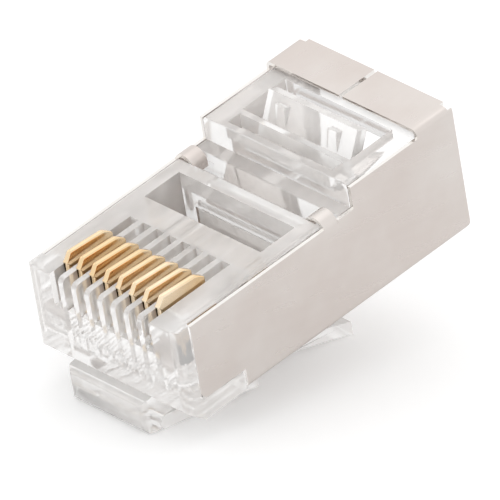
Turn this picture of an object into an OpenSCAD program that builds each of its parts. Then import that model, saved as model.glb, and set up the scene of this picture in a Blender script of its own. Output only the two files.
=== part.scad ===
// Shielded modular plug for data cable, as it leaves the moulder, not yet crimped.
// Plug frame: X across, Y from the mating face to the rear, Z up from the underside.
// place_plug() lays the plug on its latch, as it comes to rest on a table.

/* [Plug] */

// rear edge of the shield, from the zero line of all lengths
plug_l = 21.77; // [20:0.01:24]
// mating face, from the same line
face_y = -0.3; // [-0.4:0.01:0]
// width over the shield
plug_w = 11.68; // [11:0.01:13]
// height over the two rear flaps of the shield
plug_h = 8.33; // [7.5:0.01:9]
// height of the front top, over the comb
front_h = 6.5; // [6:0.01:7]
// height of the raised rear block of the moulding
rear_h = 7.9; // [7.2:0.01:8.2]
// rear edge of the bevel under the mating face
bevel_y = 0.86; // [0.3:0.01:1.2]
// upper edge of that bevel
bevel_z = 1.04; // [0.6:0.01:1.3]
// round of the two upright front corners
corner_r = 0.58; // [0.2:0.01:0.8]
// round of the long top edges of the moulding
edge_r = 0.35; // [0.1:0.01:0.5]
// gap between the moulding and the sheet round it
sheet_gap = 0.02; // [0.01:0.01:0.1]

/* [Comb] */

// distance between neighbouring contacts
pitch = 1.02; // [1:0.01:1.1]
// number of contacts
ways = 8; // [4:2:10]
// rear end of the grooves between the ribs
comb_y = 6.0; // [5:0.01:7]
// width of a groove between two ribs
groove_w = 0.62; // [0.45:0.01:0.75]
// floor of the grooves on top
groove_z = 5.3; // [4.5:0.01:6]
// lower end of the grooves in the mating face
face_z = 4.4; // [3.4:0.01:4.8]
// radius of the rib noses
nose_r = 0.36; // [0.2:0.01:0.9]
// round of the top front edge of the two end blocks
cheek_r = 0.12; // [0.05:0.01:0.3]

/* [Contacts] */

// thickness of a contact blade
blade_t = 0.35; // [0.25:0.01:0.4]
// clearance each side of a blade in its slot
blade_gap = 0.02; // [0.01:0.01:0.05]
// lip at the front of the blade
blade_y0 = 0.67; // [0.5:0.01:1.2]
// rear edge of the blade
blade_y1 = 4.2; // [3.8:0.01:5]
// top front corner of the blade, before crimping
blade_z1 = 7.38; // [7:0.01:7.6]
// tips of the piercing tines, before crimping
tine_z = 2.9; // [2.6:0.01:3.2]
// way a contact is pressed down in crimping
blade_travel = 1.25; // [1:0.01:1.4]

/* [Conductor passage] */

// height of the conductor bores
wire_z = 1.9; // [1.6:0.01:2.4]
// radius of a conductor bore
wire_r = 0.45; // [0.4:0.01:0.5]
// closed front end of the bores
wire_y0 = 1.0; // [0.7:0.01:1.5]
// rear end of the bores, where they join in one flat slot
wire_y1 = 7.5; // [7:0.01:8]
// cable cavity: half width, floor, roof, front end
cable_x = 4.5; // [4:0.01:4.9]
// floor of the cable cavity
cable_z0 = 1.0; // [0.8:0.01:1.4]
// roof of the cable cavity
cable_z1 = 6.9; // [6.3:0.01:7.1]
// front end of the cable cavity
cable_y0 = 15.36; // [14.5:0.01:16]

/* [Windows] */

// front and rear of the front window
win1_y0 = 7.75; // [7:0.01:8.5]
// rear wall of the front window
win1_y1 = 10.43; // [10:0.01:11]
// half width of the front window
win1_x = 4.5; // [4:0.01:5]
// floor of the front window
win1_z = 3.1; // [2.8:0.01:4]
// front edge of the cross groove
gap_y0 = 11.38; // [11:0.01:11.8]
// front face of the low step behind the cross groove
step_y = 12.75; // [12.4:0.01:13.2]
// height of that step
step_z = 6.3; // [6:0.01:6.6]
// floor of the cross groove
gap_z = 4.9; // [4.6:0.01:5.6]
// front face of the raised rear block
block_y = 13.65; // [13.3:0.01:14]
// rear edge of the thin front wall of the block
trough_y0 = 14.05; // [13.9:0.01:14.3]
// rear edge of the trough behind it
trough_y1 = 14.98; // [14.6:0.01:15.2]
// floor of the trough
trough_z = 6.95; // [6.6:0.01:7.5]
// half width of the trough
trough_x = 4.0; // [3.5:0.01:4.6]
// rear wall of the rear window
win2_y1 = 18.7; // [18:0.01:19]
// half width of the rear window
win2_x = 4.15; // [3.7:0.01:4.5]
// rear end of the moulding, inside the shield
mould_y1 = 21.3; // [20.8:0.01:21.7]

/* [Jacket clamp] */

// half width of both clamps
clamp_x = 3.45; // [3:0.01:3.8]
// hinge axis of the jacket clamp, along
jaw_y = 15.98; // [15.8:0.01:16.3]
// hinge axis of the jacket clamp, up
jaw_z = 6.1; // [5.8:0.01:6.4]
// lean of the jacket clamp from upright
jaw_lean = 27; // [20:0.5:35]
// thickness of the clamp plate
jaw_t = 0.8; // [0.6:0.01:1.2]
// length of the clamp plate from its axis
jaw_l = 2.72; // [2.4:0.01:2.9]
// spacing of the two pips from the middle
pip_x = 2.0; // [1.5:0.01:2.6]
// width of a pip
pip_w = 0.75; // [0.5:0.01:1]
// how far a pip stands out
pip_out = 0.42; // [0.2:0.01:0.6]
// length of a pip
pip_l = 1.3; // [0.8:0.01:1.6]
// top of a pip below the edge of the plate
pip_top = 0.45; // [0.2:0.01:0.7]
// swing of the jacket clamp when it is crimped, degrees
jaw_swing = 52; // [30:1:60]

/* [Conductor clamp] */

// hinge axis of the conductor clamp, along
bar_y = 11.12; // [11:0.01:11.4]
// hinge axis of the conductor clamp, up
bar_z = 4.5; // [4.2:0.01:4.6]
// lower edge of the bar
bar_toe_z = 2.75; // [2.5:0.01:3.2]
// swing of the bar when it is crimped, degrees
bar_swing = 18; // [10:1:25]
// radius of the bar at its hinge
bar_r = 0.24; // [0.2:0.01:0.35]

/* [Latch] */

// width of the latch at the nose
latch_w = 6.0; // [5.5:0.01:6.5]
// width of the tail that is pressed
tail_w = 3.2; // [2.8:0.01:4]
// place of the latch shoulders
shoulder_y = 7.26; // [6.8:0.01:9]
// hinge axis of the latch, along
hinge_y = 0.47; // [0.3:0.01:0.8]
// hinge axis of the latch, below the underside
hinge_z = -1.13; // [-1.3:0.01:-0.9]
// radius of the latch at its hinge
hinge_r = 0.47; // [0.4:0.01:0.55]
// bend of the latch lever, along
bend_y = 11.57; // [10.5:0.01:12.5]
// underside of the lever at the bend
bend_z = -3.95; // [-4.4:0.01:-3.6]
// end of the tail
tail_y = 15.7; // [14.5:0.01:16.5]
// underside of the tail end
tail_z = -5.4; // [-5.8:0.01:-5]
// thickness of the lever
lever_t = 0.95; // [0.8:0.01:1.2]
// front of the nose ahead of the mating face
nose_y = -1.08; // [-1.3:0.01:-0.8]
// round of the two upright front corners of the nose
nose_side_r = 0.5; // [0.2:0.01:0.8]
// clearance at the split living hinges
hinge_gap = 0.03; // [0.02:0.01:0.08]
// swing of the latch when it is pressed, degrees
latch_swing = 13; // [8:1:14]

/* [Shield] */

// thickness of the sheet
sheet_t = 0.22; // [0.15:0.01:0.3]
// outer radius of the long folds
fold_r = 0.36; // [0.3:0.01:0.6]
// front edge of the side walls
side_y0 = 0.87; // [0.6:0.01:1.2]
// lower edge of the side walls at the front
side_z0 = 1.3; // [1:0.01:1.6]
// front edge of the bottom plate
floor_y0 = 4.23; // [4:0.01:4.8]
// top edge of the side walls along the front part
side_z1 = 6.32; // [6:0.01:6.5]
// top edge of the side walls along the rear block
side_z2 = 7.77; // [7.4:0.01:7.9]
// front edge of the two top flaps
flap_y0 = 18.95; // [18.5:0.01:19.5]
// seam between the two flaps
seam = 0.24; // [0.1:0.01:0.4]
// front edge of the hook tabs
hook_y0 = 11.36; // [11:0.01:11.6]
// rear edge of the hook tabs
hook_y1 = 12.66; // [12.3:0.01:12.9]
// outer radius of the hook tabs
hook_r = 0.53; // [0.4:0.01:0.6]

/* [Hidden] */

$fn = 48;
eps = 0.01;
half_w = plug_w / 2;
mould_x = half_w - sheet_t - sheet_gap;
mould_z0 = sheet_t + sheet_gap;
row_x0 = -(ways - 1) * pitch / 2;
slot_w = blade_t + 2 * blade_gap;
comb_x = -row_x0 + groove_w / 2;
passage_x = ways * pitch / 2;
passage_z0 = wire_z - wire_r - 0.03;
passage_z1 = win1_z - 0.55;
// lowest line under the lever: from its round root to the end of the tail
rest_dy = tail_y - hinge_y;
rest_dz = tail_z - hinge_z;
rest_len = sqrt(rest_dy * rest_dy + rest_dz * rest_dz);
rest_tilt = -atan2(rest_dz, rest_dy) - asin(hinge_r / rest_len);
rest_lift = -(tail_y * sin(rest_tilt) + tail_z * cos(rest_tilt));
rest_front = (face_y + cheek_r) * cos(rest_tilt) - (front_h - cheek_r) * sin(rest_tilt) - cheek_r;
rest_rear = plug_l * cos(rest_tilt) - fold_r * sin(rest_tilt);
rest_shift = -(rest_front + rest_rear) / 2;

plastic = [0.86, 0.86, 0.85, 0.45];
nickel = [0.80, 0.78, 0.75];
gold = [0.86, 0.66, 0.30];

// lay the plug on its latch: rear up, lowest line on Z = 0, middle of its box over the origin
module place_plug() {
  translate([0, rest_shift, rest_lift])
    rotate([rest_tilt, 0, 0])
      children();
}

// a side profile drawn as (Y, Z), spread along X from x0 to x1
module across(x0, x1) {
  translate([x0, 0, 0])
    rotate([90, 0, 90])
      linear_extrude(height = x1 - x0)
        children();
}

// a cross section drawn as (X, Z), spread along Y from y0 to y1
module along(y0, y1) {
  translate([0, y1, 0])
    rotate([90, 0, 0])
      linear_extrude(height = y1 - y0)
        children();
}

module box(x0, x1, y0, y1, z0, z1) {
  translate([x0, y0, z0])
    cube([x1 - x0, y1 - y0, z1 - z0]);
}

// what a round of radius r leaves over in the corner at c, the corner pointing to (sx, sy)
module corner(c, sx, sy, r) {
  translate(c)
    difference() {
      translate([sx > 0 ? -r : -eps, sy > 0 ? -r : -eps])
        square(r + eps);
      translate([-sx * r, -sy * r])
        circle(r);
    }
}

module round_rect(x0, x1, z0, z1, r) {
  difference() {
    translate([x0, z0])
      square([x1 - x0, z1 - z0]);
    corner([x0, z0], -1, -1, r);
    corner([x1, z0], 1, -1, r);
    corner([x0, z1], -1, 1, r);
    corner([x1, z1], 1, 1, r);
  }
}

// side profile of the moulding, without the nose
module mould_profile() {
  difference() {
    polygon([[face_y, bevel_z], [bevel_y, 0], [floor_y0 - 0.12, 0], [floor_y0 - 0.12, mould_z0],
             [mould_y1, mould_z0], [mould_y1, rear_h], [block_y, rear_h], [block_y, step_z],
             [step_y, step_z], [step_y, gap_z], [gap_y0, gap_z], [gap_y0, front_h],
             [face_y, front_h]]);
    corner([face_y, front_h], -1, 1, cheek_r);
    corner([gap_y0, front_h], 1, 1, 0.12);
    corner([step_y, step_z], -1, 1, 0.1);
    corner([block_y, rear_h], -1, 1, 0.1);
  }
}

// the nose that carries the latch, with its seat round the latch hinge
module nose_profile() {
  difference() {
    polygon([[bevel_y, 0.02], [face_y + 0.02, bevel_z + 0.02], [nose_y + 0.3, 1.0],
             [nose_y, 0.76], [nose_y, -0.72], [-0.86, -1.16], [-0.24, -1.34], [hinge_y, hinge_z - 0.2],
             [hinge_y, -0.62], [1.2, -0.62], [1.2, 0]]);
    corner([nose_y, 0.76], -1, 1, 0.12);
    translate([hinge_y, hinge_z])
      circle(hinge_r + hinge_gap);
    translate([1.2, -0.31])
      circle(0.31);
    translate([1.2, -0.62])
      square([0.4, 0.62]);
    translate([hinge_y, hinge_z - 0.4])
      square([1, 0.5]);
  }
}

// one contact blade, drawn as (Y, Z): sloped nose with a lip, lower rear corner, two tines
module blade_profile() {
  difference() {
    polygon([[blade_y0 + 0.09, 4.15], [blade_y0 + 0.09, blade_z1 - 0.72],
             [blade_y0, blade_z1 - 0.65], [blade_y0, blade_z1 - 0.55],
             [blade_y0 + 0.07, blade_z1 - 0.48], [blade_y0 + 0.35, blade_z1],
             [blade_y0 + 2.93, blade_z1 - 0.18], [blade_y1, blade_z1 - 0.62], [blade_y1, 4.15],
             [blade_y1 - 0.25, 3.95], [blade_y1 - 0.25, tine_z + 0.55],
             [blade_y1 - 0.45, tine_z], [blade_y1 - 0.65, tine_z + 0.55], [blade_y1 - 0.65, 4.3],
             [blade_y0 + 0.75, 4.3], [blade_y0 + 0.75, tine_z + 0.55], [blade_y0 + 0.55, tine_z],
             [blade_y0 + 0.35, tine_z + 0.55], [blade_y0 + 0.35, 3.95]]);
    translate([(blade_y0 + blade_y1) / 2, 4.3])
      circle(0.45);
  }
}

module contact(i) {
  x = row_x0 + (i - 1) * pitch;
  color(gold)
    place_plug()
      across(x - blade_t / 2, x + blade_t / 2)
        blade_profile();
}

module comb_cuts() {
  // noses of the ribs
  across(-comb_x, comb_x)
    corner([face_y, front_h], -1, 1, nose_r);
  for (i = [0 : ways - 1]) {
    x = row_x0 + i * pitch;
    box(x - groove_w / 2, x + groove_w / 2, -1, comb_y, groove_z, front_h + 1);
    box(x - groove_w / 2, x + groove_w / 2, -1, blade_y0 + 0.12, face_z, front_h + 1);
    box(x - slot_w / 2, x + slot_w / 2, blade_y0 - 0.02, blade_y1 + 0.02,
        tine_z - blade_travel - 0.1, front_h);
    translate([x, wire_y0, wire_z])
      rotate([-90, 0, 0])
        cylinder(r = wire_r, h = wire_y1 - wire_y0 + 0.3);
  }
}

module conductor_cuts() {
  // flat slot in which the eight bores join, below the front window
  box(-passage_x, passage_x, wire_y1, step_y + 0.1, passage_z0, passage_z1);
  // room of the conductor clamp, open to the front window
  box(-clamp_x - 0.15, clamp_x + 0.15, win1_y1 - 0.2, bar_y + 0.45, passage_z1 - 0.1, bar_z);
  across(-clamp_x - 0.15, clamp_x + 0.15)
    translate([bar_y, bar_z])
      circle(bar_r + hinge_gap);
  // funnel from the cable cavity down to the slot
  across(-cable_x + 0.3, cable_x - 0.3)
    polygon([[step_y - 0.6, passage_z0], [step_y - 0.6, passage_z1 + 0.3],
             [step_y + 0.6, 4.1], [cable_y0 - 0.5, 5.5], [cable_y0 + 0.2, 5.5],
             [cable_y0 + 0.2, cable_z0], [cable_y0 - 0.9, cable_z0]]);
}

module window_cuts() {
  box(-win1_x, win1_x, win1_y0, win1_y1, win1_z, front_h + 1);
  box(-trough_x, trough_x, trough_y0, trough_y1, trough_z, rear_h + 1);
  box(-win2_x, win2_x, cable_y0, win2_y1, jaw_z - 0.6, rear_h + 1);
}

// thin web on which the jacket clamp turns
module jaw_web() {
  difference() {
    box(-clamp_x, clamp_x, cable_y0 - 0.05, jaw_y, jaw_z - 0.14, jaw_z + 0.14);
    across(-clamp_x - 1, clamp_x + 1)
      translate([jaw_y, jaw_z])
        circle(jaw_t / 2 + hinge_gap);
  }
}

// side of the moulding that stands out to the full width: ahead of the sheet and under its edge
module cheek_profile() {
  polygon([[face_y - 1, -1], [floor_y0 - 0.12, -1], [floor_y0 - 0.12, side_z0 - 0.03],
           [side_y0 - 0.03, side_z0 - 0.03], [side_y0 - 0.03, front_h + 1],
           [face_y - 1, front_h + 1]]);
}

module housing() {
  color(plastic)
    place_plug() {
      difference() {
        intersection() {
          across(-half_w, half_w)
            mould_profile();
          union() {
            across(-mould_x, mould_x)
              translate([face_y - 1, -1])
                square([plug_l + 2, plug_h + 2]);
            across(-half_w, half_w)
              cheek_profile();
          }
          union() {
            along(-1, block_y)
              round_rect(-half_w, half_w, -1, front_h, edge_r);
            along(block_y - eps, plug_l)
              round_rect(-mould_x, mould_x, -1, rear_h, edge_r);
          }
          translate([0, 0, -1])
            linear_extrude(height = plug_h + 2)
              round_rect(-half_w, half_w, face_y, plug_l, corner_r);
        }
        // round of the long top edges beside the shield
        for (s = [-1, 1])
          along(side_y0 - 0.03, block_y)
            corner([s * mould_x, front_h], s, 1, edge_r);
        comb_cuts();
        conductor_cuts();
        window_cuts();
        along(cable_y0, plug_l)
          round_rect(-cable_x, cable_x, cable_z0, cable_z1, 0.8);
        // seats of the two hook tabs
        for (s = [-1, 1])
          box(min(s * 4.2, s * 6), max(s * 4.2, s * 6), hook_y0 - 0.06, step_y + 0.02,
              side_z1 - 0.6, front_h + 1);
      }
      intersection() {
        across(-latch_w / 2, latch_w / 2)
          nose_profile();
        translate([0, 0, -3])
          linear_extrude(height = 6)
            round_rect(-latch_w / 2, latch_w / 2, nose_y, bevel_y + 2, nose_side_r);
      }
      jaw_web();
    }
}

module latch() {
  color(plastic)
    place_plug() {
      // root, lever and tail of the latch
      across(-latch_w / 2, latch_w / 2)
        difference() {
          union() {
            translate([hinge_y, hinge_z])
              circle(hinge_r);
            polygon([[hinge_y, hinge_z + hinge_r], [shoulder_y, lever_z(shoulder_y) + lever_t],
                     [shoulder_y, lever_z(shoulder_y)], [hinge_y + 0.1, hinge_z - hinge_r + 0.01]]);
          }
        }
      across(-tail_w / 2, tail_w / 2)
        polygon([[shoulder_y - 0.1, lever_z(shoulder_y - 0.1)],
                 [shoulder_y - 0.1, lever_z(shoulder_y - 0.1) + lever_t],
                 [bend_y - 0.05, bend_z + lever_t],
                 [tail_y - 0.05, tail_z + lever_t - 0.06], [tail_y, tail_z + lever_t - 0.12],
                 [tail_y, tail_z], [bend_y, bend_z]]);
    }
}

// underside of the lever at y, between its root and the bend
function lever_z(y) =
  let (z0 = hinge_z - hinge_r)
    z0 + (y - hinge_y) * (bend_z - z0) / (bend_y - hinge_y);

module jacket_clamp() {
  color(plastic)
    place_plug()
      translate([0, jaw_y, jaw_z])
        rotate([-jaw_lean, 0, 0]) {
          across(-clamp_x, clamp_x) {
            circle(jaw_t / 2);
            translate([-jaw_t / 2, 0])
              square([jaw_t, jaw_l]);
          }
          // two barbs that bite the jacket: square on top, running out downwards
          for (s = [-1, 1])
            across(s * pip_x - pip_w / 2, s * pip_x + pip_w / 2)
              polygon([[0, jaw_l - pip_top], [-jaw_t / 2 - pip_out, jaw_l - pip_top],
                       [-jaw_t / 2 - pip_out, jaw_l - pip_top - 0.2],
                       [-jaw_t / 2, jaw_l - pip_top - pip_l], [0, jaw_l - pip_top - pip_l]]);
        }
}

module conductor_clamp() {
  color(plastic)
    place_plug()
      across(-clamp_x, clamp_x)
        union() {
          translate([bar_y, bar_z])
            circle(bar_r);
          polygon([[win1_y1 + 0.02, bar_z - 0.08], [win1_y1 + 0.02, bar_toe_z],
                   [win1_y1 + 0.25, bar_toe_z], [bar_y + 0.16, bar_z - 0.18],
                   [bar_y, bar_z]]);
        }
}

// outline of the side walls, drawn as (Y, Z)
module side_profile() {
  difference() {
    polygon([[side_y0, side_z0], [floor_y0, side_z0], [floor_y0, 0], [plug_l, 0],
             [plug_l, plug_h], [flap_y0, plug_h], [flap_y0, side_z2], [block_y, side_z2],
             [block_y, side_z1], [side_y0, side_z1]]);
    corner([side_y0, side_z0], -1, -1, 0.5);
    corner([plug_l, 0], 1, -1, 0.35);
    corner([block_y, side_z2], -1, 1, 0.12);
  }
}

module hook_ring(r_out, r_in) {
  difference() {
    circle(r_out);
    circle(r_in);
    translate([-1, -2])
      square(2);
  }
}

module shield() {
  color(nickel)
    place_plug() {
      difference() {
        intersection() {
          along(side_y0, plug_l)
            difference() {
              round_rect(-half_w, half_w, 0, plug_h, fold_r);
              round_rect(-half_w + sheet_t, half_w - sheet_t, sheet_t, plug_h - sheet_t,
                         fold_r - sheet_t);
            }
          across(-half_w, half_w)
            side_profile();
        }
        box(-seam / 2, seam / 2, flap_y0 - 1, plug_l + 1, plug_h - 1, plug_h + 1);
        // bottom plate stops short of the rear edge
        box(-half_w + 0.5, half_w - 0.5, plug_l - 0.4, plug_l + 1, -1, 1);
        for (s = [-1, 1])
          box(min(s * 5.2, s * 6), max(s * 5.2, s * 6), plug_l - 0.3, plug_l + 1, plug_h - 0.5,
              plug_h + 1);
      }
      // hook tabs bent over into the cross groove
      for (s = [-1, 1]) {
        along(hook_y0, hook_y1)
          translate([s * (half_w - hook_r), side_z1 - eps])
            hook_ring(hook_r, hook_r - sheet_t);
        box(s * (half_w - 2 * hook_r + sheet_t / 2) - sheet_t / 2,
            s * (half_w - 2 * hook_r + sheet_t / 2) + sheet_t / 2,
            hook_y0, hook_y1, side_z1 - 0.45, side_z1);
      }
    }
}

housing();
latch();
jacket_clamp();
conductor_clamp();
shield();
contact(1);  // contact_1
contact(2);  // contact_2
contact(3);  // contact_3
contact(4);  // contact_4
contact(5);  // contact_5
contact(6);  // contact_6
contact(7);  // contact_7
contact(8);  // contact_8
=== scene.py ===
"""Dressed scene of a shielded modular plug, laid on its latch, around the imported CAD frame."""

import bmesh
import bpy
import numpy as np
from mathutils import Matrix, Vector


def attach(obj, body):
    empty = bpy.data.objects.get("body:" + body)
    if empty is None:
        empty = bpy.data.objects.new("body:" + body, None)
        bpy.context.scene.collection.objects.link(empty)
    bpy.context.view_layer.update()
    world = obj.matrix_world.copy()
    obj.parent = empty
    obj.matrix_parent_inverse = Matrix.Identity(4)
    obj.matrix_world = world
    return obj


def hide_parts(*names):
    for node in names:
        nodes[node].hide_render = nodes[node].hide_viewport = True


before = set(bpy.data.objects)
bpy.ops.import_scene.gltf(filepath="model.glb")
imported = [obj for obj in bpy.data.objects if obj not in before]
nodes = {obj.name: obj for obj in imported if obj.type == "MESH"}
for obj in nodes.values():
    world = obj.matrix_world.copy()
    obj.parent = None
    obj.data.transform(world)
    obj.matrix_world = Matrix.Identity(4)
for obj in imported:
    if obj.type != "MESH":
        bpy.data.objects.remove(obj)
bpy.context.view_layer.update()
collection = bpy.context.scene.collection

# Camera. A long lens from the front right and a little above, as the photograph was taken.
# Its place and turn come from 32 corners of the plug, fitted to the photograph.

FRAME_PX = 500
LENS_PX = 15443
CAMERA_AT = Vector((0.527692, -0.541958, 0.385982))
CAMERA_RIGHT = Vector((0.70400, 0.70936, 0.03442))
CAMERA_UP = Vector((-0.33990, 0.29398, 0.89333))

camera = bpy.data.objects.new("camera", bpy.data.cameras.new("camera"))
camera.data.sensor_width = 36.0
camera.data.lens = LENS_PX / FRAME_PX * camera.data.sensor_width
camera.data.clip_start = 0.02
camera.data.clip_end = 20.0
right = CAMERA_RIGHT.normalized()
back = right.cross(CAMERA_UP).normalized()
up = back.cross(right)
camera.matrix_world = Matrix.Translation(CAMERA_AT) @ Matrix((right, up, back)).transposed().to_4x4()
collection.objects.link(camera)
bpy.context.scene.camera = camera

# Room. A pale table top under a soft lamp from above and a weaker one from the left. Camera,
# glossy and transmission rays see a plain white room behind it. Light crosses many walls of
# clear plastic, so it may bounce often.

ROOM_LIGHT = 1.0
ROOM_SEEN = 1.0
TABLE_SIZE = 1.2
TABLE_COLOUR = (0.90, 0.90, 0.90, 1.0)
TABLE_GLOW = 0.20

bpy.context.scene.view_settings.view_transform = "Standard"
bpy.context.scene.cycles.max_bounces = 64
bpy.context.scene.cycles.diffuse_bounces = 48
bpy.context.scene.cycles.transmission_bounces = 48
bpy.context.scene.cycles.glossy_bounces = 32
bpy.context.scene.cycles.transparent_max_bounces = 80


def seen_share(tree, *rays):
    """1 for the named kinds of ray, 0 for all others: the largest of the Light Path's outputs."""
    path = tree.nodes.new("ShaderNodeLightPath")
    share = path.outputs[rays[0]]
    for ray in rays[1:]:
        larger = tree.nodes.new("ShaderNodeMath")
        larger.operation = "MAXIMUM"
        tree.links.new(share, larger.inputs[0])
        tree.links.new(path.outputs[ray], larger.inputs[1])
        share = larger.outputs[0]
    return share


world = bpy.data.worlds.new("room")
bpy.context.scene.world = world
world.use_nodes = True
tree = world.node_tree
background = tree.nodes["Background"]
background.inputs["Color"].default_value = (1.0, 1.0, 1.0, 1.0)
strength = tree.nodes.new("ShaderNodeMapRange")
strength.inputs["To Min"].default_value = ROOM_LIGHT
strength.inputs["To Max"].default_value = ROOM_SEEN
tree.links.new(
    seen_share(tree, "Is Camera Ray", "Is Glossy Ray", "Is Transmission Ray"), strength.inputs["Value"]
)
tree.links.new(strength.outputs["Result"], background.inputs["Strength"])

half = TABLE_SIZE / 2
table_mesh = bpy.data.meshes.new("table_top")
table_mesh.from_pydata([(-half, -half, 0), (half, -half, 0), (half, half, 0), (-half, half, 0)], [], [(0, 1, 2, 3)])
table_top = bpy.data.objects.new("table_top", table_mesh)
collection.objects.link(table_top)
table_finish = bpy.data.materials.new("table_paint")
table_finish.use_nodes = True
tree = table_finish.node_tree
shader = tree.nodes["Principled BSDF"]
shader.inputs["Base Color"].default_value = TABLE_COLOUR
shader.inputs["Roughness"].default_value = 0.9
shader.inputs["Specular IOR Level"].default_value = 0.1
shader.inputs["Emission Color"].default_value = (1.0, 1.0, 1.0, 1.0)
glow = tree.nodes.new("ShaderNodeMath")
glow.operation = "MULTIPLY"
glow.inputs[1].default_value = TABLE_GLOW
tree.links.new(seen_share(tree, "Is Camera Ray", "Is Transmission Ray"), glow.inputs[0])
tree.links.new(glow.outputs[0], shader.inputs["Emission Strength"])
table_mesh.materials.append(table_finish)


def soft_lamp(name, place, aim, size, power):
    """A square area lamp at place, turned to shine at aim."""
    lamp = bpy.data.objects.new(name, bpy.data.lights.new(name, "AREA"))
    lamp.data.shape = "SQUARE"
    lamp.data.size = size
    lamp.data.energy = power
    direction = Vector(place) - Vector(aim)
    lamp.matrix_world = Matrix.Translation(place) @ direction.to_track_quat("Z", "Y").to_matrix().to_4x4()
    collection.objects.link(lamp)
    return lamp


soft_lamp("top_lamp", (-0.05, 0.10, 0.35), (0, 0, 0), 0.30, 0.07)
soft_lamp("side_lamp", (-0.30, -0.10, 0.22), (0, 0, 0.004), 0.20, 0.05)

# Moulded body. One piece of clear polycarbonate, injection moulded: comb, windows, cross groove,
# raised rear block, conductor bores, funnel and cable cavity, and the nose that bears the latch.
# Its solid is the CAD node's own, with its edges broken as a mould leaves them.

PLASTIC_IOR = 1.35
PLASTIC_TINT = (1.0, 0.998, 0.996, 1.0)
PLASTIC_ROUGH = (0.03, 0.08)
SHADOW_TINT = (0.98, 0.98, 0.98, 1.0)
HAZE_TINT = (1.0, 0.982, 0.966, 1.0)
HAZE_SHARE = 0.43
HAZE_DRIFT = 0.2
POLISHED_HAZE = 0.02
WINDOW_Y = (7.7, 10.5)
WINDOW_FLOOR = 3.0
GROOVE_FLOOR = 4.85
LINED_X = 5.55
CHEEK_X = 5.75
SHEET_FRONT = 0.85
FLOOR_FRONT = 4.2
UNDERSIDE = 0.15
MOULD_EDGE = 4.5e-5
TILT = np.radians(13.95902)
LIFT = 1.45325
SHIFT = -9.60327


def merged_copy(node, name):
    """The CAD node's triangles as a new object: doubles merged and flat neighbours joined to one face."""
    bm = bmesh.new()
    bm.from_mesh(nodes[node].data)
    bmesh.ops.remove_doubles(bm, verts=bm.verts, dist=2e-6)
    bmesh.ops.dissolve_limit(bm, angle_limit=np.radians(0.6), verts=bm.verts, edges=bm.edges)
    bmesh.ops.recalc_face_normals(bm, faces=bm.faces)
    bm.verts.index_update()
    mesh = bpy.data.meshes.new(name)
    mesh.from_pydata([v.co[:] for v in bm.verts], [], [[v.index for v in f.verts] for f in bm.faces])
    bm.free()
    piece = bpy.data.objects.new(name, mesh)
    collection.objects.link(piece)
    return piece


def break_edges(piece, width, steps=2, sharp=30):
    """Rounds every edge sharper than a given angle by width, and shades the rest smooth."""
    bevel = piece.modifiers.new("broken_edges", "BEVEL")
    bevel.width = width
    bevel.segments = steps
    bevel.limit_method = "ANGLE"
    bevel.angle_limit = np.radians(sharp)
    bevel.harden_normals = True
    piece.data.shade_smooth()


def noise_at(tree, scale, stretch, detail):
    """Noise on Object coordinates, squeezed or stretched along the three axes."""
    place = tree.nodes.new("ShaderNodeTexCoord")
    mapping = tree.nodes.new("ShaderNodeMapping")
    mapping.inputs["Scale"].default_value = stretch
    noise = tree.nodes.new("ShaderNodeTexNoise")
    noise.inputs["Scale"].default_value = scale
    noise.inputs["Detail"].default_value = detail
    tree.links.new(place.outputs["Object"], mapping.inputs["Vector"])
    tree.links.new(mapping.outputs["Vector"], noise.inputs["Vector"])
    return noise.outputs["Fac"]


def ranged(tree, value, low, high):
    """A noise value spread from its usual 0.35 to 0.65 over low to high."""
    spread = tree.nodes.new("ShaderNodeMapRange")
    spread.inputs["From Min"].default_value = 0.35
    spread.inputs["From Max"].default_value = 0.65
    spread.inputs["To Min"].default_value = low
    spread.inputs["To Max"].default_value = high
    tree.links.new(value, spread.inputs["Value"])
    return spread.outputs["Result"]


def bumped(tree, shader, value, strength, distance):
    """Raises the shader's surface by the given value."""
    bump = tree.nodes.new("ShaderNodeBump")
    bump.inputs["Strength"].default_value = strength
    bump.inputs["Distance"].default_value = distance
    tree.links.new(value, bump.inputs["Height"])
    tree.links.new(bump.outputs["Normal"], shader.inputs["Normal"])


def in_plug_frame(points):
    """Row frame metres to plug millimetres: X across, Y from the mating face to the rear, Z up from
    the underside. The plug lies on its latch, turned about X by TILT, then shifted and lifted."""
    y, z = points[:, 1] * 1000 - SHIFT, points[:, 2] * 1000 - LIFT
    turned = [points[:, 0] * 1000, y * np.cos(TILT) + z * np.sin(TILT), z * np.cos(TILT) - y * np.sin(TILT)]
    return np.stack(turned, 1)


def polish_hidden_faces(piece, polished):
    """Gives a second finish to the faces that the mould leaves polished: bores, slots, cavity and what
    lies against the sheet. Open faces are those over the groove floors, in the front window, at the
    mating face and under the front."""
    centres = np.empty(len(piece.data.polygons) * 3)
    piece.data.polygons.foreach_get("center", centres)
    x, y, z = in_plug_frame(centres.reshape(-1, 3)).T
    window = (y > WINDOW_Y[0]) & (y < WINDOW_Y[1]) & (z > WINDOW_FLOOR) & (abs(x) < LINED_X)
    open_face = (z > GROOVE_FLOOR) & ((abs(x) < LINED_X) | (y < SHEET_FRONT))
    open_face |= window | (y < SHEET_FRONT - 0.05) | ((z < UNDERSIDE) & (y < FLOOR_FRONT)) | (abs(x) > CHEEK_X)
    piece.data.materials.append(polished)
    piece.data.polygons.foreach_set("material_index", np.where(open_face, 0, 1).astype(np.int32))


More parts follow.
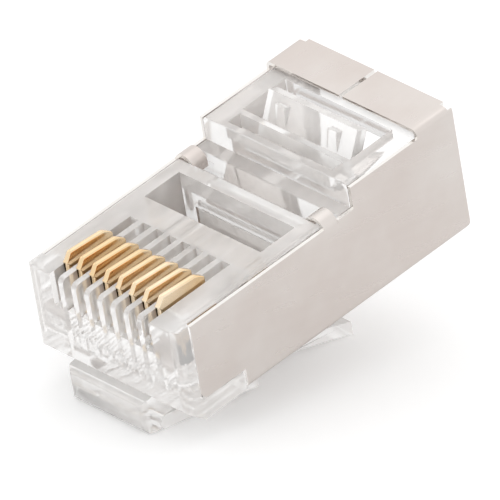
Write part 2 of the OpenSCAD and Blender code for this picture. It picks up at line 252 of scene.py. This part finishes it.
def clear_plastic(name, haze_share):
    """Clear moulded polycarbonate: refraction, flow ripples along the melt and, on its outer side,
    the fine white haze of a mould's matt skin, stronger in patches. A shadow ray goes through it
    with a little loss, as light through a clear part does."""
    finish = bpy.data.materials.new(name)
    finish.use_nodes = True
    tree = finish.node_tree
    shader = tree.nodes["Principled BSDF"]
    shader.inputs["Base Color"].default_value = PLASTIC_TINT
    shader.inputs["Transmission Weight"].default_value = 1.0
    shader.inputs["IOR"].default_value = PLASTIC_IOR
    skin = noise_at(tree, 260.0, (1.0, 0.6, 1.0), 3.0)
    tree.links.new(ranged(tree, skin, *PLASTIC_ROUGH), shader.inputs["Roughness"])
    flow = noise_at(tree, 330.0, (1.0, 0.35, 1.0), 2.0)
    bumped(tree, shader, flow, 0.12, 2e-5)
    haze = tree.nodes.new("ShaderNodeBsdfDiffuse")
    haze.inputs["Color"].default_value = HAZE_TINT
    side = tree.nodes.new("ShaderNodeNewGeometry")
    outer = tree.nodes.new("ShaderNodeMath")
    outer.operation = "SUBTRACT"
    outer.use_clamp = True
    tree.links.new(ranged(tree, skin, haze_share * (1 - HAZE_DRIFT), haze_share * (1 + HAZE_DRIFT)), outer.inputs[0])
    tree.links.new(side.outputs["Backfacing"], outer.inputs[1])
    hazed = tree.nodes.new("ShaderNodeMixShader")
    tree.links.new(outer.outputs[0], hazed.inputs[0])
    tree.links.new(shader.outputs[0], hazed.inputs[1])
    tree.links.new(haze.outputs[0], hazed.inputs[2])
    path = tree.nodes.new("ShaderNodeLightPath")
    clear = tree.nodes.new("ShaderNodeBsdfTransparent")
    clear.inputs["Color"].default_value = SHADOW_TINT
    mix = tree.nodes.new("ShaderNodeMixShader")
    tree.links.new(path.outputs["Is Shadow Ray"], mix.inputs[0])
    tree.links.new(hazed.outputs[0], mix.inputs[1])
    tree.links.new(clear.outputs[0], mix.inputs[2])
    tree.links.new(mix.outputs[0], tree.nodes["Material Output"].inputs["Surface"])
    return finish


moulding = clear_plastic("clear_polycarbonate", HAZE_SHARE)
moulding_polished = clear_plastic("clear_polycarbonate_polished", POLISHED_HAZE)
body = merged_copy("housing", "moulded_body")
break_edges(body, MOULD_EDGE)
body.data.materials.append(moulding)
polish_hidden_faces(body, moulding_polished)
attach(body, "root")
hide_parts("housing")

# Latch and the two clamps. Parts of the same clear moulding that bend at thin webs: the lever
# under the plug, the plate that bites the jacket and the bar that presses on the conductors.

LEVER_HAZE_SHARE = 0.52

lever_moulding = clear_plastic("clear_polycarbonate_levers", LEVER_HAZE_SHARE)
for node, rides_on in (
    ("latch", "latch_body"),
    ("jacket_clamp", "jacket_clamp_body"),
    ("conductor_clamp", "conductor_clamp_body"),
):
    piece = merged_copy(node, "moulded_" + node)
    break_edges(piece, MOULD_EDGE)
    piece.data.materials.append(lever_moulding)
    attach(piece, rides_on)
    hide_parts(node)

# Contacts. Eight blades punched from phosphor bronze strip and gold plated, standing loose in
# their slots until crimping drives them down. Punching leaves one face's edges rolled over.

GOLD = (0.90, 0.67, 0.40, 1.0)
GOLD_WORN = (0.98, 0.82, 0.60, 1.0)
GOLD_ROUGH = (0.12, 0.24)
CONTACT_COUNT = 8
CONTACT_PITCH = 1.02
BLADE_THICK = 0.35
BLADE_EDGE = 0.04
BLADE_TOP_EDGE = 0.15
BLADE_TOP_Z = 6.75


def laid(points):
    """Plug points in mm to row frame metres: turned about X by TILT, then shifted and lifted."""
    p = np.asarray(points, float)
    y = p[..., 1] * np.cos(TILT) - p[..., 2] * np.sin(TILT) + SHIFT
    z = p[..., 1] * np.sin(TILT) + p[..., 2] * np.cos(TILT) + LIFT
    return np.stack([p[..., 0], y, z], -1) / 1000.0


def rounded_outline(corners, steps=4):
    """Rows (y, z, radius) to a closed outline: each corner becomes an arc tangent to its two sides.
    With half turn h at the corner, the arc starts radius * tan(h) before it; the points of the arc
    are taken on a quadratic through start, corner and end, weighted to lie close to the circle."""
    c = np.asarray(corners, float)
    here, radius = c[:, :2], c[:, 2]
    before, after = np.roll(here, 1, 0) - here, np.roll(here, -1, 0) - here
    before /= np.linalg.norm(before, axis=1)[:, None]
    after /= np.linalg.norm(after, axis=1)[:, None]
    turn = np.pi - np.arccos(np.clip((before * after).sum(1), -1, 1))
    reach = radius * np.tan(turn / 2)
    start, end = here + before * reach[:, None], here + after * reach[:, None]
    t = np.linspace(0, 1, steps)[None, :, None]
    weight = np.cos(turn / 2)[:, None, None]
    top = (1 - t) ** 2 * start[:, None] + 2 * t * (1 - t) * weight * here[:, None] + t**2 * end[:, None]
    return (top / ((1 - t) ** 2 + 2 * t * (1 - t) * weight + t**2)).reshape(-1, 2)


def rolled_plate(outline, x_low, x_high, edge, steps=4):
    """An outline in (y, z) carried across X: over a quarter turn a at each face the outline is drawn
    in by edge * (1 - sin a) while x runs in by edge * (1 - cos a), so both rims are round. The edge
    radius is a value for each point of the outline."""
    ahead, behind = np.roll(outline, -1, 0) - outline, outline - np.roll(outline, 1, 0)
    n1 = np.stack([-ahead[:, 1], ahead[:, 0]], 1) / (np.linalg.norm(ahead, axis=1)[:, None] + 1e-9)
    n2 = np.stack([-behind[:, 1], behind[:, 0]], 1) / (np.linalg.norm(behind, axis=1)[:, None] + 1e-9)
    inward = n1 + n2
    inward /= np.linalg.norm(inward, axis=1)[:, None] + 1e-9
    area = (outline[:, 0] * np.roll(outline[:, 1], -1) - np.roll(outline[:, 0], -1) * outline[:, 1]).sum()
    inward *= np.sign(area)
    a = np.linspace(0, np.pi / 2, steps + 1)
    draw = np.concatenate([1 - np.sin(a), 1 - np.sin(a[::-1])])[:, None] * edge
    run_in = (1 - np.cos(a))[:, None] * edge
    x = np.concatenate([x_low + run_in, x_high - run_in[::-1]])
    rings = outline[None] + inward[None] * draw[:, :, None]
    grid = np.concatenate([x[:, :, None], rings], -1)
    count, wide = grid.shape[:2]
    i, j = np.meshgrid(np.arange(count - 1), np.arange(wide), indexing="ij")
    k = (j + 1) % wide
    quads = np.stack([i * wide + j, (i + 1) * wide + j, (i + 1) * wide + k, i * wide + k], -1).reshape(-1, 4)
    faces = quads.tolist() + [list(range(wide)), list(range((count - 1) * wide, count * wide))[::-1]]
    return laid(grid.reshape(-1, 3)), faces


def closed_mesh(name, points, faces):
    """A mesh of the given points and faces, its doubles merged and its faces turned outward."""
    mesh = bpy.data.meshes.new(name)
    mesh.from_pydata(points.tolist(), [], faces)
    bm = bmesh.new()
    bm.from_mesh(mesh)
    bmesh.ops.remove_doubles(bm, verts=bm.verts, dist=1e-7)
    bmesh.ops.recalc_face_normals(bm, faces=bm.faces)
    bm.to_mesh(mesh)
    bm.free()
    piece = bpy.data.objects.new(name, mesh)
    collection.objects.link(piece)
    return piece


def plated(name, base, worn, rough, grain, stretch, bump):
    """Plated sheet metal: colour wanders between base and worn, and fine grain along the rolling
    direction sets the roughness and a shallow bump."""
    finish = bpy.data.materials.new(name)
    finish.use_nodes = True
    tree = finish.node_tree
    shader = tree.nodes["Principled BSDF"]
    shader.inputs["Metallic"].default_value = 1.0
    blend = tree.nodes.new("ShaderNodeMix")
    blend.data_type = "RGBA"
    blend.inputs["A"].default_value = base
    blend.inputs["B"].default_value = worn
    tree.links.new(ranged(tree, noise_at(tree, 240.0, (1.0, 1.0, 1.0), 3.0), 0.0, 1.0), blend.inputs["Factor"])
    tree.links.new(blend.outputs["Result"], shader.inputs["Base Color"])
    fine = noise_at(tree, grain, stretch, 4.0)
    tree.links.new(ranged(tree, fine, *rough), shader.inputs["Roughness"])
    bumped(tree, shader, fine, bump, 8e-6)
    return finish


gold = plated("gold_plate", GOLD, GOLD_WORN, GOLD_ROUGH, 2600.0, (1.0, 0.15, 1.0), 0.06)
blade = rounded_outline([
    (0.76, 4.15, 0.03), (0.76, 6.66, 0.03), (0.67, 6.73, 0.03), (0.67, 6.83, 0.03),
    (0.74, 6.90, 0.04), (1.02, 7.38, 0.26), (3.60, 7.20, 0.50), (4.20, 6.76, 0.12),
    (4.20, 4.15, 0.05), (3.95, 3.95, 0.05), (3.95, 3.45, 0.05), (3.75, 2.90, 0.02),
    (3.55, 3.45, 0.05), (3.55, 4.30, 0.05), (2.88, 4.30, 0.05), (2.43, 4.74, 0.42), (1.98, 4.30, 0.05),
    (1.42, 4.30, 0.05), (1.42, 3.45, 0.05), (1.22, 2.90, 0.02), (1.02, 3.45, 0.05), (1.02, 3.95, 0.05),
])
on_top = np.clip((blade[:, 1] - BLADE_TOP_Z) / 0.3, 0, 1)
blade_edge = BLADE_EDGE + (BLADE_TOP_EDGE - BLADE_EDGE) * on_top * on_top * (3 - 2 * on_top)
for number in range(1, CONTACT_COUNT + 1):
    middle = (number - (CONTACT_COUNT + 1) / 2) * CONTACT_PITCH
    spread = rolled_plate(blade, middle - BLADE_THICK / 2, middle + BLADE_THICK / 2, blade_edge)
    piece = closed_mesh(f"contact_blade_{number}", *spread)
    piece.data.shade_smooth()
    piece.data.set_sharp_from_angle(angle=np.radians(40))
    piece.data.materials.append(gold)
    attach(piece, f"contact_{number}_body")
    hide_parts(f"contact_{number}")

# Shield. One sheet of nickel plated brass, stamped to a flat blank and folded round the moulding:
# floor, side walls, two flaps that meet at a seam behind, and a tab each side that hooks into the
# cross groove. Its edges are sheared. Their rim faces are coloured paler than the plate: partly
# the cut metal's own colour, and partly a painted highlight where light catches the edges.

NICKEL = (0.715, 0.65, 0.612, 1.0)
NICKEL_WORN = (0.765, 0.715, 0.68, 1.0)
NICKEL_ROUGH = (0.26, 0.42)
# Sheared rim colours: partly the cut metal's own, partly a painted highlight along the sheet's edges.
SHEARED_EDGE_AND_HIGHLIGHT = (0.93, 0.90, 0.87, 1.0)
SHEARED_EDGE_AND_HIGHLIGHT_WORN = (0.96, 0.94, 0.91, 1.0)
SHEARED_ROUGH = (0.12, 0.24)
SHEET_THICK = 0.22
SHEET_EDGE = 5.5e-5
HALF_W, TOP_Z, FOLD_R = 5.84, 8.33, 0.36
SIDE_Y0, FLOOR_Y0, BLOCK_Y, FLAP_Y0, REAR_Y = 0.87, 4.23, 13.65, 18.95, 21.77
SIDE_Z0, FRONT_Z1, BLOCK_Z1 = 1.3, 6.32, 7.77
HOOK_Y0, HOOK_Y1, HOOK_R, HOOK_Z, HOOK_END = 11.36, 12.40, 0.78, 6.05, 0.25
SEAM_HALF = 0.12

QUARTER = FOLD_R * np.pi / 2
FLAT = HALF_W - FOLD_R
WALL = TOP_Z - 2 * FOLD_R


def folded(a):
    """Length a along the blank from the middle of the floor, to (x, z) on the outside of the
    folded sheet: floor, quarter circle, wall, quarter circle, flap."""
    low = np.clip((a - FLAT) / FOLD_R, 0, np.pi / 2)
    high = np.clip((a - FLAT - QUARTER - WALL) / FOLD_R, 0, np.pi / 2)
    up = np.clip(a - FLAT - QUARTER, 0, WALL)
    over = np.clip(a - FLAT - 2 * QUARTER - WALL, 0, None)
    x = np.minimum(a, FLAT) + FOLD_R * np.sin(low) - FOLD_R * (1 - np.cos(high)) - over
    z = FOLD_R * (1 - np.cos(low)) + up + FOLD_R * np.sin(high)
    return x, z


def at_height(z):
    """Length along the blank at which the wall has reached height z."""
    return FLAT + QUARTER + z - FOLD_R


def lines(*marks, step):
    """Grid lines through all marks, with no gap between two lines wider than step."""
    spans = [np.linspace(a, b, int(np.ceil((b - a) / step)) + 1)[:-1] for a, b in zip(marks, marks[1:])]
    return np.concatenate(spans + [marks[-1:]])


def blunted(a, y, corner, side, radius):
    """Squeezes the square of the blank at a corner into a quarter disc: with p, q the distances
    from the disc's middle as shares of the radius, p becomes p * sqrt(1 - q * q / 2), and q alike."""
    p = (radius + side[0] * (a - corner[0])) / radius
    q = (radius + side[1] * (y - corner[1])) / radius
    inside = (p > 0) & (q > 0) & (p < 1.001) & (q < 1.001)
    p1, q1 = p * np.sqrt(np.clip(1 - q * q / 2, 0, 1)), q * np.sqrt(np.clip(1 - p * p / 2, 0, 1))
    a = np.where(inside, corner[0] + side[0] * (p1 - 1) * radius, a)
    y = np.where(inside, corner[1] + side[1] * (q1 - 1) * radius, y)
    return a, y


def blank_half():
    """Half of the blank as a grid of lines along and across; cells outside its outline are left out."""
    end = FLAT + 2 * QUARTER + WALL + (HALF_W - FOLD_R - SEAM_HALF)
    wall_top = FLAT + QUARTER + WALL
    marks_a = (0.0, FLAT, FLAT + QUARTER, FLAT + QUARTER * 0.5 + 0.4, at_height(0.9), at_height(SIDE_Z0), at_height(SIDE_Z0 + 0.5),
               at_height(HOOK_Z), at_height(FRONT_Z1), at_height(BLOCK_Z1 - 0.12), at_height(BLOCK_Z1), wall_top,
               wall_top + QUARTER, wall_top + QUARTER + 0.28, end)
    marks_y = (SIDE_Y0, SIDE_Y0 + 0.5, FLOOR_Y0, HOOK_Y0, HOOK_Y1, BLOCK_Y, BLOCK_Y + 0.12, FLAP_Y0,
               REAR_Y - 0.4, REAR_Y - 0.3, REAR_Y)
    a = np.unique(np.concatenate([
        lines(*marks_a, step=1.6), np.linspace(FLAT, FLAT + QUARTER, 9),
        np.linspace(wall_top, wall_top + QUARTER, 9), at_height(SIDE_Z0) + np.linspace(0, 0.5, 7),
    ]).round(6))
    y = np.unique(np.concatenate([lines(*marks_y, step=1.6), SIDE_Y0 + np.linspace(0, 0.5, 7)]).round(6))
    grid_a, grid_y = np.meshgrid(a, y, indexing="ij")
    mid_a = (grid_a[1:, 1:] + grid_a[:-1, :-1]) / 2
    mid_y = (grid_y[1:, 1:] + grid_y[:-1, :-1]) / 2
    start = np.where(mid_a < at_height(SIDE_Z0), FLOOR_Y0, SIDE_Y0)
    start = np.where(mid_a > at_height(FRONT_Z1), BLOCK_Y, start)
    start = np.where(mid_a > at_height(BLOCK_Z1), FLAP_Y0, start)
    stop = np.where(mid_a < FLAT + QUARTER * 0.5, REAR_Y - 0.4, REAR_Y)
    stop = np.where((mid_a > wall_top + 0.2) & (mid_a < wall_top + QUARTER + 0.28), REAR_Y - 0.3, stop)
    hooked = (mid_y > HOOK_Y0) & (mid_y < HOOK_Y1) & (mid_a > at_height(HOOK_Z))
    keep = (mid_y > start) & (mid_y < stop) & ~hooked
    grid_a, grid_y = blunted(grid_a, grid_y, (at_height(SIDE_Z0), SIDE_Y0), (-1, -1), 0.5)
    grid_a, grid_y = blunted(grid_a, grid_y, (FLAT + QUARTER * 0.5, REAR_Y), (-1, 1), 0.4)
    x, z = folded(grid_a)
    return np.stack([x, grid_y, z], -1), keep


def hook_half():
    """The hooked tab: a half turn p from the wall's top, x = wall - r * (1 - cos p), z = wall + r * sin p,
    and a short straight end that points down into the groove."""
    p = np.linspace(0, np.pi, 15)
    y = lines(HOOK_Y0, HOOK_Y1, step=1.6)
    x = HALF_W - HOOK_R * (1 - np.cos(np.append(p, np.pi)))
    z = np.append(HOOK_Z + HOOK_R * np.sin(p), HOOK_Z - HOOK_END)
    grid_x, grid_y = np.meshgrid(x, y, indexing="ij")
    grid_z = np.broadcast_to(z[:, None], grid_x.shape)
    return np.stack([grid_x, grid_y, grid_z], -1), np.ones((len(x) - 1, len(y) - 1), bool)


def sheet_faces(grid, keep):
    """Both halves of a grid, the second mirrored in X: points, and the quads of the kept cells."""
    rows, wide = grid.shape[:2]
    i, j = np.nonzero(keep)
    quads = np.stack([i * wide + j, (i + 1) * wide + j, (i + 1) * wide + j + 1, i * wide + j + 1], -1)
    points = grid.reshape(-1, 3)
    mirrored = points * [-1, 1, 1]
    return np.concatenate([points, mirrored]), np.concatenate([quads, quads[:, ::-1] + rows * wide])


def folded_sheet(name, parts):
    """One thin sheet of several grids, merged along their shared lines; its thickness is added afterwards."""
    points, faces, count = [], [], 0
    for part in parts:
        p, f = sheet_faces(*part)
        points.append(p)
        faces.append(f + count)
        count += len(p)
    mesh = bpy.data.meshes.new(name)
    mesh.from_pydata(laid(np.concatenate(points)).tolist(), [], np.concatenate(faces).tolist())
    bm = bmesh.new()
    bm.from_mesh(mesh)
    bmesh.ops.remove_doubles(bm, verts=bm.verts, dist=2e-6)
    bmesh.ops.delete(bm, geom=[v for v in bm.verts if not v.link_faces], context="VERTS")
    bmesh.ops.recalc_face_normals(bm, faces=bm.faces)
    bm.to_mesh(mesh)
    bm.free()
    piece = bpy.data.objects.new(name, mesh)
    collection.objects.link(piece)
    return piece


nickel = plated("nickel_plate", NICKEL, NICKEL_WORN, NICKEL_ROUGH, 1500.0, (1.0, 0.08, 1.0), 0.10)
# The second finish goes on the rim faces: the sheared edge, paler to carry a painted highlight.
sheared_edge_and_highlight = plated("nickel_sheared_edge_painted_highlight", SHEARED_EDGE_AND_HIGHLIGHT, SHEARED_EDGE_AND_HIGHLIGHT_WORN, SHEARED_ROUGH, 1500.0, (1.0, 0.08, 1.0), 0.06)
sheet = folded_sheet("folded_shield", [blank_half(), hook_half()])
wall = sheet.modifiers.new("sheet_thickness", "SOLIDIFY")
wall.thickness = SHEET_THICK / 1000
wall.offset = -1.0
wall.use_even_offset = True
wall.material_offset_rim = 1
break_edges(sheet, SHEET_EDGE, 2, 40)
sheet.data.materials.append(nickel)
sheet.data.materials.append(sheared_edge_and_highlight)
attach(sheet, "root")
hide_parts("shield")
